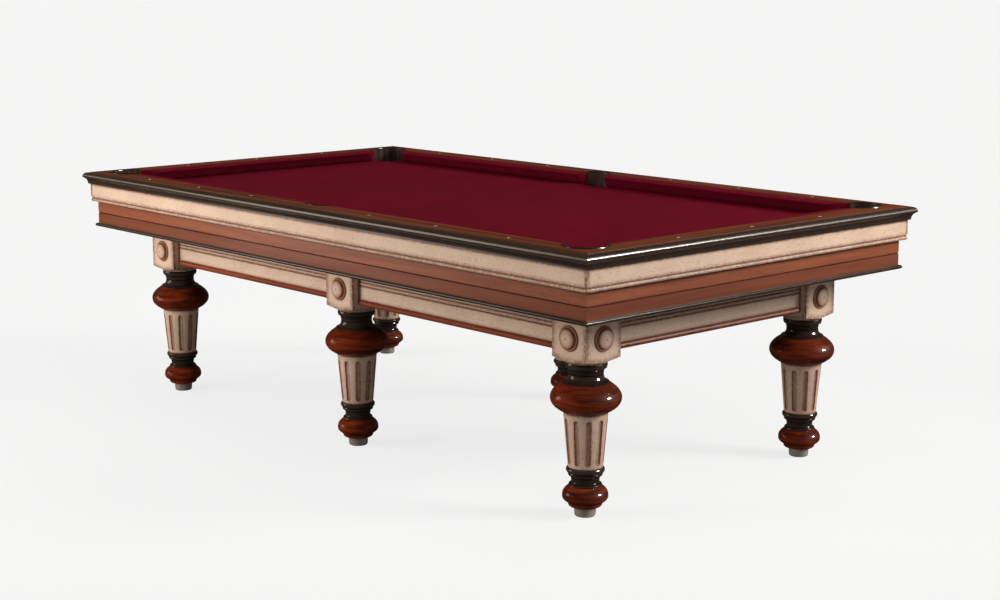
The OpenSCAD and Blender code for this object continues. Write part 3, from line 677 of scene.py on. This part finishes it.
@dataclass(frozen=True)
class FieldSizes:
    """The sizes that the cushions and the cloth share, in metres."""

    half_length: float = 1.1684
    half_width: float = 0.5842
    bed: float = 0.774
    nose: float = 0.8105
    top: float = 0.815
    depth: float = 0.0458
    clearance: float = 0.0003
    corner_gap: float = 0.092
    side_gap: float = 0.072
    corner_radius: float = 0.0635
    corner_out: Point2 = (0.0206, 0.0248)
    side_radius: float = 0.0617
    side_out: float = 0.0178
    fall_radius: float = 0.09

    @property
    def corner(self) -> Point2:
        """The middle of a corner pocket."""
        return self.half_length + self.corner_out[0], self.half_width + self.corner_out[1]

    @staticmethod
    def half_chord(radius: float, across: float) -> float:
        """Works out half the chord that lies this far across from a pocket's middle."""
        return math.sqrt(radius ** 2 - across ** 2)


@dataclass(frozen=True)
class CushionShape:
    """A cushion's section, in metres and degrees.

    The foot leads from the bed up to the undercut face, the round nose follows, and the
    crowned top runs back to the rail, where the cloth wraps round the edge. The foot's two
    points and the drop of the nose's middle are shares of the nose's radius, and the wrap's
    middle point is in shares of the wrap.
    """

    undercut: float = 0.0138
    foot_backs: Point2 = (3.6, 1.2)
    foot_rise: float = 0.006
    face_rise: float = 0.0122
    nose_round: float = 0.0032
    nose_drop: float = 0.45
    round_start: float = 236.0
    round_turn: float = 150.0
    round_steps: int = 7
    crown: float = 0.0012
    top_steps: int = 10
    wrap: float = 0.0012
    wrap_middle: Point2 = (0.25, 0.35)

    def points(self, sizes: FieldSizes) -> list[Point2]:
        """Lists the section's points, from the bottom round the nose to the back.

        Args:
            sizes: The field's sizes.

        Returns:
            Pairs of distance behind the nose and height.
        """
        low = sizes.bed + sizes.clearance * 2
        back = sizes.depth - sizes.clearance
        r = self.nose_round
        middle = sizes.nose - r * self.nose_drop
        found = [(self.undercut + r * self.foot_backs[0], low),
                 (self.undercut + r * self.foot_backs[1], low + self.foot_rise),
                 (self.undercut, low + self.face_rise)]
        for i in range(self.round_steps + 1):
            a = math.radians(self.round_start - i * self.round_turn / self.round_steps)
            found.append((r + r * math.cos(a), middle + r * math.sin(a)))
        start = found[-1]
        for i in range(1, self.top_steps + 1):
            t = i / self.top_steps
            found.append((start[0] + (back - self.wrap - start[0]) * t,
                          start[1] + (sizes.top - start[1]) * t
                          + self.crown * math.sin(math.pi * t)))
        found += [(back - self.wrap * self.wrap_middle[0],
                   sizes.top - self.wrap * self.wrap_middle[1]),
                  (back, sizes.top - self.wrap), (back, low)]
        return found


@dataclass
class Cushion:
    """One cloth covered cushion between two pockets.

    Its start and end are given at the nose and at the rail. Each of its ends is rounded by
    three stations: how far they lie inside the end and how far they shrink, in metres.
    """

    name: str
    node: str
    start: Point2
    end: Point2
    outward: Point2
    along: Point2
    sizes: FieldSizes = field(default_factory=FieldSizes)
    shape: CushionShape = field(default_factory=CushionShape)
    segments: int = 30
    rounding: tuple[Point2, ...] = ((0.0004, 0.0016), (0.0007, 0.0006), (0.0018, 0.0))
    most_shrink: float = 0.8

    def ring(self, share: float, inset: float, shrink: float) -> list[Point3]:
        """Places the section at one station.

        Args:
            share: The station, from 0 at the start to 1 at the end.
            inset: How far the station lies inside the end, in metres.
            shrink: How far the points draw in towards the section's middle, in metres.

        Returns:
            The ring's points.
        """
        section = self.shape.points(self.sizes)
        mid = (sum(p[0] for p in section) / len(section), sum(p[1] for p in section) / len(section))
        inward = 1.0 if share < 0.5 else -1.0
        found = []
        for back, height in section:
            pull = min(self.most_shrink, shrink / math.hypot(back - mid[0], height - mid[1]))
            b = back + (mid[0] - back) * pull
            h = height + (mid[1] - height) * pull
            t = b / self.sizes.depth
            low = self.start[0] + (self.start[1] - self.start[0]) * t
            high = self.end[0] + (self.end[1] - self.end[0]) * t
            place = low + (high - low) * share + inward * inset
            nose = (self.sizes.half_width if self.outward[0] == 0 else self.sizes.half_length) + b
            found.append((self.along[0] * place + self.outward[0] * nose,
                          self.along[1] * place + self.outward[1] * nose, h))
        return found

    def build(self, material: bpy.types.Material) -> bpy.types.Object:
        """Builds the cushion in the place of its CAD solid.

        Args:
            material: Its cloth.

        Returns:
            The cushion.
        """
        stations = [(0.0, *one) for one in self.rounding]
        stations += [(i / self.segments, 0.0, 0.0) for i in range(1, self.segments)]
        stations += [(1.0, *one) for one in reversed(self.rounding)]
        rings = [self.ring(*station) for station in stations]
        count = len(rings[0])
        faces = bridge(len(rings), count, around(count))
        faces.append(tuple(range(count))[::-1])
        faces.append(tuple((len(rings) - 1) * count + i for i in range(count)))
        turn = self.along[0] * self.outward[1] - self.along[1] * self.outward[0]
        if turn > 0:
            faces = [face[::-1] for face in faces]
        piece = add_piece(self.name, [p for ring in rings for p in ring], faces, material)
        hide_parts(self.node)
        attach(piece, "table")
        return piece


@dataclass
class Cushions:
    """The six cushions."""

    sizes: FieldSizes = field(default_factory=FieldSizes)
    short_segments: int = 24

    def build(self, material: bpy.types.Material) -> None:
        """Builds all six.

        Args:
            material: Their cloth.
        """
        s = self.sizes
        corner = s.corner
        long_end = (s.half_length - s.corner_gap,
                    corner[0] - s.half_chord(s.corner_radius, s.depth - s.corner_out[1])
                    - s.clearance)
        short_end = (s.half_width - s.corner_gap,
                     corner[1] - s.half_chord(s.corner_radius, s.depth - s.corner_out[0])
                     - s.clearance)
        side_end = (s.side_gap,
                    s.half_chord(s.side_radius, s.depth - s.side_out) + s.clearance)
        for side in Side:
            for end in End:
                name = f"{side.name.lower()}_{end.name.lower()}"
                Cushion(f"cushion_cover_{name}", f"cushion_{name}", side_end, long_end,
                        (0.0, float(side.value)), (float(end.value), 0.0), s).build(material)
        for end in End:
            name = end.name.lower()
            Cushion(f"cushion_cover_{name}", f"cushion_{name}", (-short_end[0], -short_end[1]),
                    short_end, (float(end.value), 0.0), (0.0, 1.0), s,
                    segments=self.short_segments).build(material)


@dataclass
class Cloth:
    """The bed cloth, stretched on the slate and folded over its edge in the pockets.

    Each ring of the edge is given by how much it widens the pocket holes and by its height
    over the bed. One more ring is as wide as the last of them, and lies under the bed by the
    fold's depth.
    """

    sizes: FieldSizes = field(default_factory=FieldSizes)
    tuck: float = 0.0006
    edge: tuple[Point2, ...] = ((0.0018, 0.0), (0.0008, -0.0003), (0.0003, -0.0013))
    fold: float = 0.012
    corner_steps: int = 26
    side_steps: int = 30

    def hole_reach(self, origin: Point2, angle: float, circles: list[Circle]) -> float:
        """Finds how far a ray goes before it leaves the first of several circles.

        Args:
            origin: The ray's start, inside them all.
            angle: The ray's angle.
            circles: Each circle's middle and radius.

        Returns:
            The distance.
        """
        reach = math.inf
        for (cx, cy), r in circles:
            dx, dy = origin[0] - cx, origin[1] - cy
            b = dx * math.cos(angle) + dy * math.sin(angle)
            reach = min(reach, -b + math.sqrt(b * b - dx * dx - dy * dy + r * r))
        return reach

    def quarter(self, grow: float) -> list[tuple[Point2, bool]]:
        """Traces the outline of one quarter, from the side pocket to the corner pocket.

        Args:
            grow: How much the pocket holes grow, in metres.

        Returns:
            The points, each with whether it lies on a pocket's edge.
        """
        s = self.sizes
        edge_y = s.half_width + s.depth - self.tuck
        edge_x = s.half_length + s.depth - self.tuck
        found: list[tuple[Point2, bool]] = []
        small = ((0.0, s.half_width + s.side_out), s.side_radius + grow)
        large = ((0.0, s.half_width + s.fall_radius + s.clearance), s.fall_radius + grow)
        origin = (0.0, edge_y)
        for i in range(self.side_steps + 1):
            a = math.pi / 2 * (i / self.side_steps - 1)
            r = self.hole_reach(origin, a, [small, large])
            found.append(((origin[0] + r * math.cos(a), origin[1] + r * math.sin(a)), True))
        (cx, cy), r = s.corner, s.corner_radius + grow
        first = math.atan2(edge_y - cy, -s.half_chord(r, edge_y - cy))
        last = math.tau + math.atan2(-s.half_chord(r, edge_x - cx), edge_x - cx)
        for i in range(self.corner_steps + 1):
            a = first + (last - first) * i / self.corner_steps
            found.append(((cx + r * math.cos(a), cy + r * math.sin(a)), True))
        found.append(((edge_x, 0.0), False))
        return found

    def outline(self, grow: float) -> list[tuple[Point2, bool]]:
        """Traces the whole outline.

        Args:
            grow: How much the pocket holes grow, in metres.

        Returns:
            The points in order, each with whether it lies on a pocket's edge.
        """
        one = self.quarter(grow)
        two = [((x, -y), on) for (x, y), on in reversed(one)][1:]
        half = one + two
        left = [((-x, y), on) for (x, y), on in reversed(half)][1:-1]
        return half + left

    def build(self, material: bpy.types.Material) -> bpy.types.Object:
        """Builds the cloth in the place of its CAD solid.

        Args:
            material: Its material.

        Returns:
            The cloth.
        """
        levels = [*self.edge, (self.edge[-1][0], -self.fold)]
        outlines = [self.outline(grow) for grow, _ in levels]
        first = outlines[0]
        points = [(x, y, self.sizes.bed + rise)
                  for outline, (_, rise) in zip(outlines, levels) for (x, y), _ in outline]
        folded = [(i, j) for i, j in around(len(first))
                  if first[i][1] and first[j][1] and self.close(first[i][0], first[j][0])]
        faces = [tuple(range(len(first)))[::-1], *bridge(len(levels), len(first), folded)]
        piece = add_piece("bed_cloth_cover", points, faces, material)
        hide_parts("bed_cloth")
        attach(piece, "table")
        return piece

    def close(self, one: Point2, two: Point2) -> bool:
        """Tells whether two outline points are neighbours on one pocket's edge."""
        return math.dist(one, two) < self.sizes.corner_radius / 2


@dataclass
class Legs:
    """The six turned legs with their feet and rosettes, and the frame's metal fittings."""

    places: tuple[str, ...] = ("front_left", "front_middle", "front_right", "back_left",
                               "back_middle", "back_right")

    def each(self, section: str) -> list[str]:
        """Lists the nodes of a section, one for each leg."""
        return [f"{section}_{place}" for place in self.places]

    def dress(self) -> None:
        """Gives each section and fitting its finish."""
        dress(self.each("leg_block"),
              AgedPaint("block_paint", Grain.ALONG_Z, edge_reach=0.03))
        dress(self.each("leg_column"),
              AgedPaint("column_paint", Grain.ALONG_Z, light=from_screen(218, 188, 166),
                        warm=from_screen(196, 164, 142), patina_and_shade=from_screen(112, 46, 27),
                        edge_reach=0.008, hollow_reach=0.022,
                        hollow=Span(0.54, 0.95, 0.9, 0.0)))
        # The collar grooves get painted shade, near black, from the hollow mask.
        dress(self.each("leg_collars"),
              BlackLacquer("collar_lacquer", Grain.LEVEL, base=from_screen(54, 42, 35),
                           brown=from_screen(72, 58, 49), hollow_reach=0.05, roughness=0.2,
                           coat=0.6, coat_roughness=0.1))
        dress(self.each("leg_bulbs"),
              Wood("bulb_lacquer", Grain.LEVEL, light=from_screen(136, 52, 23),
                   dark=from_screen(78, 25, 10), pore=from_screen(46, 15, 7),
                   band=Layer(9.0, 80.0, Span(0.3, 0.72), octaves=5.0, rough=0.55, bend=0.6),
                   figure=Layer(8.0, 22.0, Span(0.44, 0.66, 0.0, 0.6), octaves=3.0, rough=0.55,
                                bend=0.8),
                   specular=0.05, coat=0.4, coat_roughness=0.05))
        dress(self.each("levelling_foot"),
              Plain("foot_metal", base=from_screen(168, 155, 145),
                    other=from_screen(112, 101, 94), scale=420.0, relief=0.0002,
                    roughness=0.55, metallic=0.1))
        dress(["foot_bushes", "frame_bolts"],
              Plain("zinc_steel", base=from_screen(176, 176, 172),
                    other=from_screen(140, 140, 138), scale=500.0, roughness=0.35,
                    metallic=1.0))
        # The rosettes' dome and slope masks paint shade on the domes, partly real patina at their
        # rims.
        dress(["rosettes"],
              AgedPaint("rosette_paint", Grain.ALONG_Z, patina_and_shade=from_screen(150, 88, 64),
                        edge_reach=0.006, dome_shade_reach=0.03, slope_shade=Span(0.82, 0.998, 0.85, 0.0)))


@dataclass
class Body:
    """The rails, and the boards, mouldings, aprons and beams under them."""

    groove_height: float = 0.669

    def dress(self) -> None:
        """Gives each board and moulding its finish."""
        for grain, sides, cabinet, aprons in (
                (Grain.ALONG_X, ("front", "back"), "cabinet_sides", "long_aprons"),
                (Grain.ALONG_Y, ("left", "right"), "cabinet_ends", "end_aprons")):
            way = grain.value
            dress([f"fascia_{side}" for side in sides], AgedPaint(f"fascia_paint_{way}", grain))
            dress([f"rail_{side}" for side in sides],
                  Wood(f"rail_wood_{way}", grain, light=from_screen(122, 60, 32),
                       dark=from_screen(84, 36, 18), coat=0.04))
            dress([cabinet],
                  Wood(f"frieze_wood_{way}", grain, light=from_screen(158, 90, 60),
                       dark=from_screen(124, 66, 43), dim_below=self.groove_height,
                       seam_reach=0.008, roughness=0.32, specular=0.22))
            dress([aprons], AgedPaint(f"apron_paint_{way}", grain, edge_reach=0.007))
        dress(["apron_beads"],
              Wood("bead_wood", light=from_screen(150, 72, 42), dark=from_screen(106, 47, 26),
                   coat=0.08))
        dress(["top_mouldings"], BlackLacquer("moulding_lacquer", coat_roughness=0.2))
        dress(["base_boards"],
              BlackLacquer("base_lacquer", roughness=0.2, coat=0.45, coat_roughness=0.13))
        dress(["cross_beams"],
              Wood("beam_wood", Grain.ALONG_Y, light=from_screen(196, 160, 116),
                   dark=from_screen(168, 130, 88), pore=from_screen(128, 94, 62),
                   roughness=0.7, coat=0.0))


@dataclass
class Bed:
    """The slate, the pockets and their rims, and the sights."""

    def dress(self) -> None:
        """Gives each piece its finish."""
        dress(["slate_bed"],
              Plain("slate_stone", base=from_screen(92, 95, 98), other=from_screen(70, 73, 76),
                    scale=90.0, roughness=0.65))
        # The pocket liners get painted shade, near black, deep inside from the hollow mask.
        dress(["pocket_liners"],
              BlackLacquer("liner_plastic", Grain.ALONG_Z, base=from_screen(56, 46, 40),
                           brown=from_screen(92, 76, 67), hollow_reach=0.04, coat=0.9,
                           coat_roughness=0.08))
        dress(["pocket_rims"],
              Plain("rim_gloss", base=from_screen(30, 26, 25), other=from_screen(20, 18, 17),
                    scale=200.0, coat=0.3))
        dress(["sights"],
              Plain("sight_ivory", base=from_screen(232, 220, 196),
                    other=from_screen(214, 198, 170), scale=300.0, coat=0.4))


@dataclass(frozen=True)
class Lamp(ABC):
    """What all lamps share: they light the surface, or only show in its gloss."""

    name: str
    in_gloss: bool = False
    tint: Rgb = (1.0, 0.96, 0.91)

    @abstractmethod
    def build(self) -> None:
        """Adds the lamp."""

    def hang(self, data: bpy.types.Light, power: float, place: Vector, turn: Euler) -> None:
        """Puts the lamp in its place.

        Args:
            data: Its light.
            power: Its power.
            place: Its place.
            turn: Its direction.
        """
        data.energy = power
        data.color = self.tint
        lamp = bpy.data.objects.new(self.name, data)
        bpy.context.scene.collection.objects.link(lamp)
        lamp.location = place
        lamp.rotation_euler = turn
        lamp.visible_glossy = self.in_gloss
        lamp.visible_diffuse = not self.in_gloss


@dataclass(frozen=True, kw_only=True)
class SoftSun(Lamp):
    """A wide and distant lamp, given by the direction that it stands in and its width."""

    toward: Point3
    strength: float
    width: float
    distance: float = 6.0

    def build(self) -> None:
        """Adds the sun."""
        data = bpy.data.lights.new(self.name, "SUN")
        data.angle = math.radians(self.width)
        toward = Vector(self.toward)
        self.hang(data, self.strength, toward.normalized() * self.distance,
                  toward.to_track_quat("Z", "Y").to_euler())


@dataclass(frozen=True, kw_only=True)
class WashLamp(Lamp):
    """A square soft lamp that looks at a point, with its size and power and its beam's angle."""

    place: Point3
    target: Point3
    size: float
    power: float
    beam: float

    def build(self) -> None:
        """Adds the lamp."""
        data = bpy.data.lights.new(self.name, "AREA")
        data.size = self.size
        data.spread = math.radians(self.beam)
        way = Vector(self.target) - Vector(self.place)
        self.hang(data, self.power, Vector(self.place), way.to_track_quat("-Z", "Y").to_euler())


LAMPS = (
    SoftSun("left_sun", toward=(-0.60, -0.80, 0.36), strength=1.2, width=30.0),
    SoftSun("right_sun", toward=(0.76, 0.64, 0.48), strength=1.85, width=20.0),
    SoftSun("top_sun", toward=(0.15, -0.15, 1.0), strength=0.5, width=60.0),
    SoftSun("left_gloss", toward=(-0.78, -0.56, 0.22), strength=0.3, width=18.0, in_gloss=True,
            tint=(1.0, 0.82, 0.66)),
    SoftSun("right_gloss", toward=(0.76, 0.64, 0.40), strength=9.5, width=13.0, in_gloss=True,
            tint=(1.0, 0.93, 0.84)),
    WashLamp("left_wash", place=(-1.2, -3.6, 1.0), target=(-0.8, -0.7, 0.75), size=0.6,
             power=12.5, beam=85.0),
    WashLamp("right_wash", place=(3.3, 1.8, 2.3), target=(1.3, 0.6, 0.72), size=0.6,
             power=5.0, beam=60.0),
    WashLamp("middle_gloss", place=(-2.95, -3.5, 0.4), target=(0.35, -0.7, 0.66), size=1.8,
             power=33.0, beam=180.0, in_gloss=True),
)


@dataclass
class Studio:
    """The floor, the surrounding, the lights and the camera.

    The paper and the room have one level for the camera, and others for the light that they
    throw back and for what shows in the gloss.
    """

    floor_half: float = 60.0
    paper: float = 0.92
    paper_glow: float = 0.78
    paper_lit: float = 0.16
    paper_shade: float = 0.99
    paper_cloud: Layer = even(1.4, Span(0.3, 0.7), octaves=2.0, rough=0.5)
    paper_bounce: float = 0.26
    paper_gloss: float = 0.05
    room_fill: float = 0.32
    room_gloss: Rgb = (0.062, 0.044, 0.032)
    camera_place: Point3 = (4.66543, -4.06023, 1.57120)
    camera_right: Point3 = (0.669799, 0.742542, -0.000788)
    camera_down: Point3 = (0.134812, -0.122648, -0.983251)
    camera_forward: Point3 = (-0.730202, 0.658475, -0.182254)
    focal_pixels: float = 1821.92
    image_width: float = 1000.0
    sensor: float = 36.0

    def build(self) -> None:
        """Builds the whole studio."""
        self.add_floor()
        self.add_world()
        for lamp in LAMPS:
            lamp.build()
        self.add_camera()
        LOG.info("studio: floor, lights and camera are in place")

    def add_floor(self) -> None:
        """Adds a pale floor that keeps its shadow."""
        g = Graph("floor_paper", Grain.ALONG_X, grey(self.paper_lit))
        g.cover(g.mask(self.paper_cloud), grey(self.paper_lit * self.paper_shade))
        path = g.tree.nodes.new("ShaderNodeLightPath")
        straight = path.outputs["Is Camera Ray"]
        g.colour = mix(g.tree, straight, grey(self.paper_bounce), g.colour)
        g.cover(path.outputs["Is Glossy Ray"], grey(self.paper_gloss))
        material = g.finish(Roughness=1.0, Specular_IOR_Level=0.0, Emission_Color=grey(1.0),
                            Emission_Strength=g.math("MULTIPLY", straight, self.paper_glow))
        h = self.floor_half
        floor = add_piece("studio_floor", [(-h, -h, 0.0), (h, -h, 0.0), (h, h, 0.0), (-h, h, 0.0)],
                          [(0, 1, 2, 3)], material, smooth=False)

    def add_world(self) -> None:
        """Adds an even surrounding: pale to the camera, dimmer as light and as a reflection."""
        world = bpy.data.worlds.new("studio_world")
        world.use_nodes = True
        bpy.context.scene.world = world
        tree = world.node_tree
        path = tree.nodes.new("ShaderNodeLightPath")
        fill = mix(tree, path.outputs["Is Glossy Ray"], grey(self.room_fill), self.room_gloss)
        level = mix(tree, path.outputs["Is Camera Ray"], fill, grey(self.paper))
        back = tree.nodes["Background"]
        plug(level, back.inputs["Color"])
        plug(1.0, back.inputs["Strength"])
        bpy.context.scene.view_settings.view_transform = "Standard"

    def add_camera(self) -> None:
        """Adds the camera where the photograph was taken."""
        data = bpy.data.cameras.new("photo_camera")
        data.sensor_fit = "HORIZONTAL"
        data.sensor_width = self.sensor
        data.lens = self.focal_pixels / self.image_width * self.sensor
        camera = bpy.data.objects.new("photo_camera", data)
        bpy.context.scene.collection.objects.link(camera)
        right, down, forward = (Vector(v) for v in (
            self.camera_right, self.camera_down, self.camera_forward))
        turn = Matrix((right, -down, -forward)).transposed().to_4x4()
        camera.matrix_world = Matrix.Translation(self.camera_place) @ turn
        bpy.context.scene.camera = camera


@dataclass
class BilliardTable:
    """The whole table."""

    legs: Legs = field(default_factory=Legs)
    body: Body = field(default_factory=Body)
    bed: Bed = field(default_factory=Bed)
    cushions: Cushions = field(default_factory=Cushions)
    cloth: Cloth = field(default_factory=Cloth)

    def build(self) -> None:
        """Dresses the CAD nodes and builds the soft pieces."""
        self.legs.dress()
        self.body.dress()
        self.bed.dress()
        cloth = BedCloth("red_cloth").make()
        self.cushions.build(cloth)
        self.cloth.build(cloth)


def main() -> None:
    """Builds the table and the studio."""
    BilliardTable().build()
    Studio().build()


if __name__ == "__main__":
    main()
